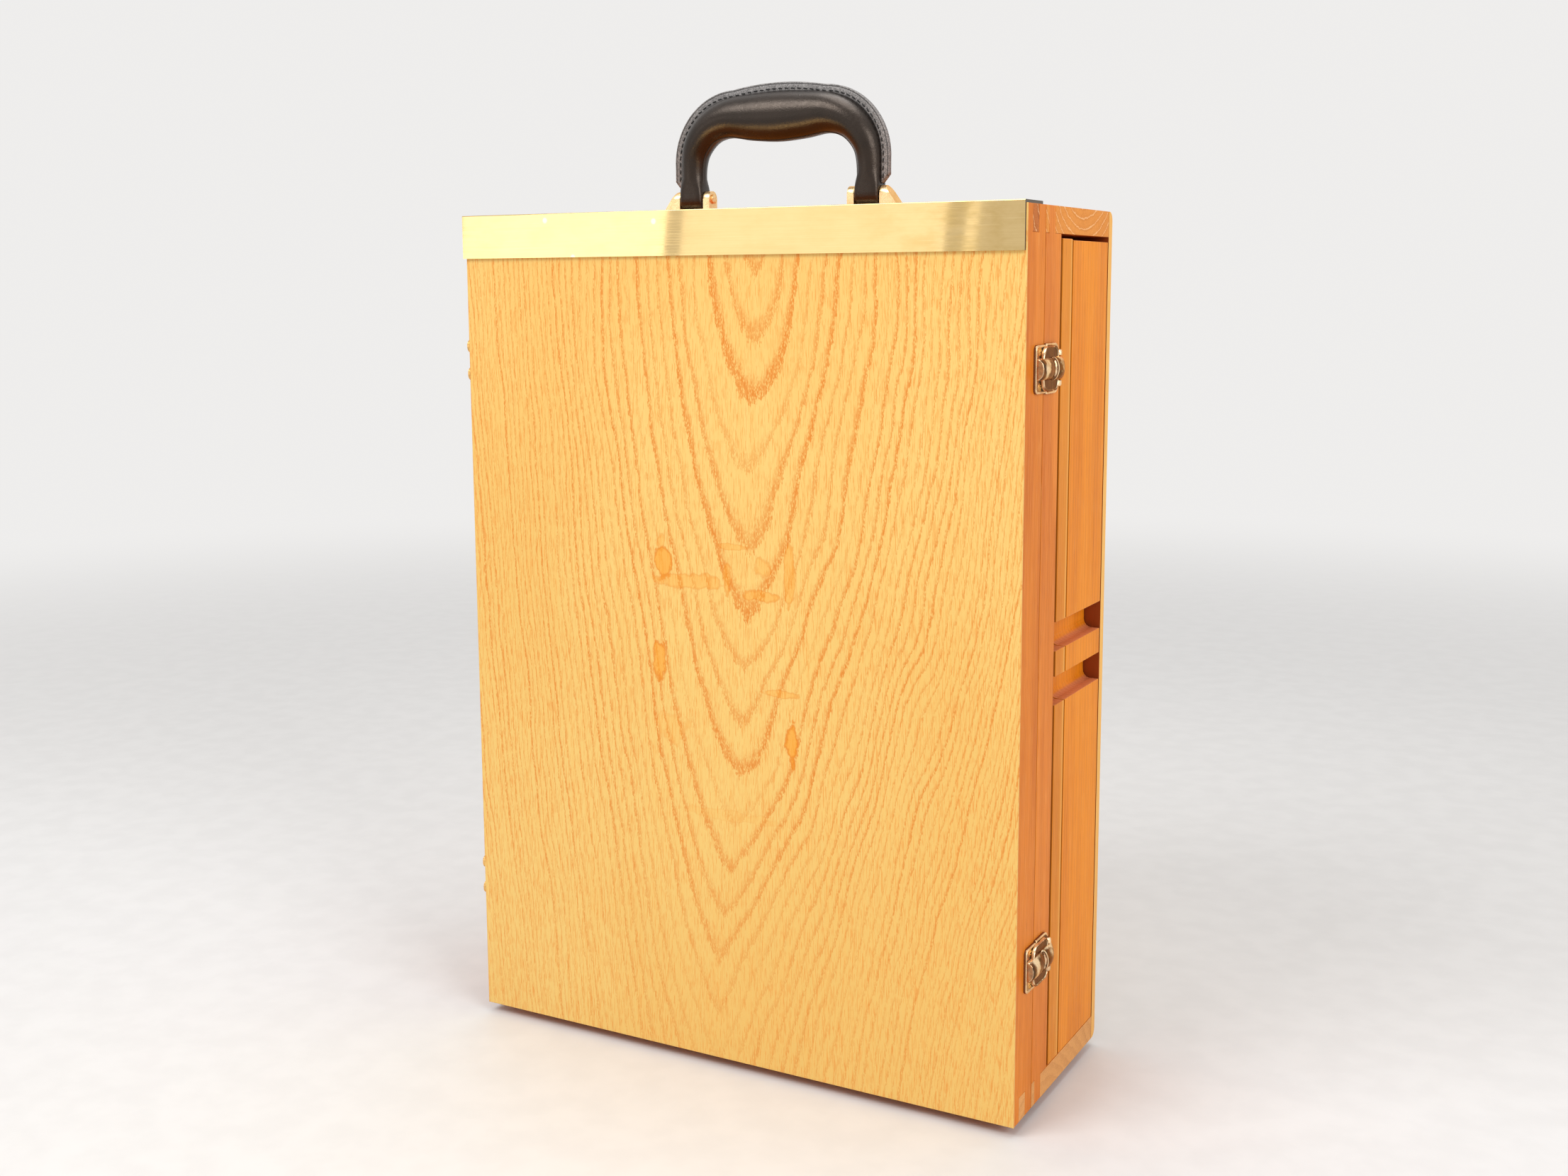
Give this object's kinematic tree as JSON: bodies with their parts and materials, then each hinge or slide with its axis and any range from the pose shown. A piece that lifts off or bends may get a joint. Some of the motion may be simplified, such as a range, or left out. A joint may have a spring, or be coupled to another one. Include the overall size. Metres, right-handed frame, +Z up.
{
  "type": "pochade box",
  "caption": "Upright wooden painter's field box with hinged oak lid, pull-out palette tray and drawer, brass latches and leather handle.",
  "frame": {"origin": "on the ground in the middle of the case's footprint", "axes": "+X towards the drawer side, +Y from the oak lid to the back panel, +Z up"},
  "size_m": [0.3699, 0.1376, 0.577],
  "materials": {
    "frame_wood": "satin varnish",
    "back_wood": "satin varnish",
    "inner_wood": "satin varnish",
    "core_wood": "satin varnish",
    "oak": "gloss varnish",
    "tray_wood": "satin varnish",
    "drawer_wood": "satin varnish",
    "palette_wood": "satin varnish",
    "brass": "polished",
    "steel": "satin",
    "leather": "satin",
    "rubber": "matte"
  },
  "bodies": {
    "case": {"top_board": "frame_wood", "bottom_board": "frame_wood", "left_board": "frame_wood", "right_stile": "frame_wood", "back_panel": "back_wood", "tray_runner_bottom": "inner_wood", "tray_runner_top": "inner_wood", "rubber_feet": "rubber", "handle_mount_left": "brass", "handle_mount_right": "brass", "handle_pivot_screws": "brass", "hinge_case_leaf_upper": "brass", "hinge_case_leaf_lower": "brass", "hinge_pins": "brass", "latch_base_upper": "brass", "latch_base_lower": "brass", "latch_pins": "brass"},
    "lid": {"lid_top_rail": "frame_wood", "lid_bottom_rail": "frame_wood", "lid_left_rail": "frame_wood", "lid_right_rail": "frame_wood", "lid_core": "core_wood", "oak_face": "oak", "brass_edge_angle": "brass", "panel_strip_hinge_side": "inner_wood", "panel_strip_latch_side": "inner_wood", "hinge_lid_leaf_upper": "brass", "hinge_lid_leaf_lower": "brass", "latch_keeper_upper": "brass", "latch_keeper_lower": "brass"},
    "palette_tray": {"tray_front_rail": "tray_wood", "tray_back_rail": "tray_wood", "tray_side_rail_bottom": "tray_wood", "tray_side_rail_top": "tray_wood", "palette_board": "palette_wood"},
    "drawer": {"drawer_front": "drawer_wood", "drawer_back": "drawer_wood", "drawer_side_bottom": "drawer_wood", "drawer_side_top": "drawer_wood", "drawer_floor": "drawer_wood", "drawer_long_divider": "drawer_wood", "drawer_cross_divider_lower": "drawer_wood", "drawer_cross_divider_upper": "drawer_wood"},
    "handle": {"handle_grip": "leather", "handle_core": "steel"},
    "upper_latch": {"latch_lever_upper": "brass"},
    "lower_latch": {"latch_lever_lower": "brass"}
  },
  "joints": [
    {"name": "lid_hinge", "type": "hinge", "parent": "case", "child": "lid", "pos_m": [-0.1819, -0.0409, 0.2535], "axis": [0, 0, -1], "range_deg": [0, 180]},
    {"name": "tray_slide", "type": "slide", "parent": "case", "child": "palette_tray", "axis": [1, 0, 0], "range_m": [0, 0.3]},
    {"name": "drawer_slide", "type": "slide", "parent": "case", "child": "drawer", "axis": [1, 0, 0], "range_m": [0, 0.3]},
    {"name": "handle_swing", "type": "hinge", "parent": "case", "child": "handle", "pos_m": [0, 0, 0.5117], "axis": [1, 0, 0], "range_deg": [-84, 82]},
    {"name": "upper_latch_turn", "type": "hinge", "parent": "case", "child": "upper_latch", "pos_m": [0.1824, -0.0212, 0.4164], "axis": [0, 0, 1], "range_deg": [0, 90]},
    {"name": "lower_latch_turn", "type": "hinge", "parent": "case", "child": "lower_latch", "pos_m": [0.1824, -0.0212, 0.0906], "axis": [0, 0, 1], "range_deg": [0, 90]}
  ]
}
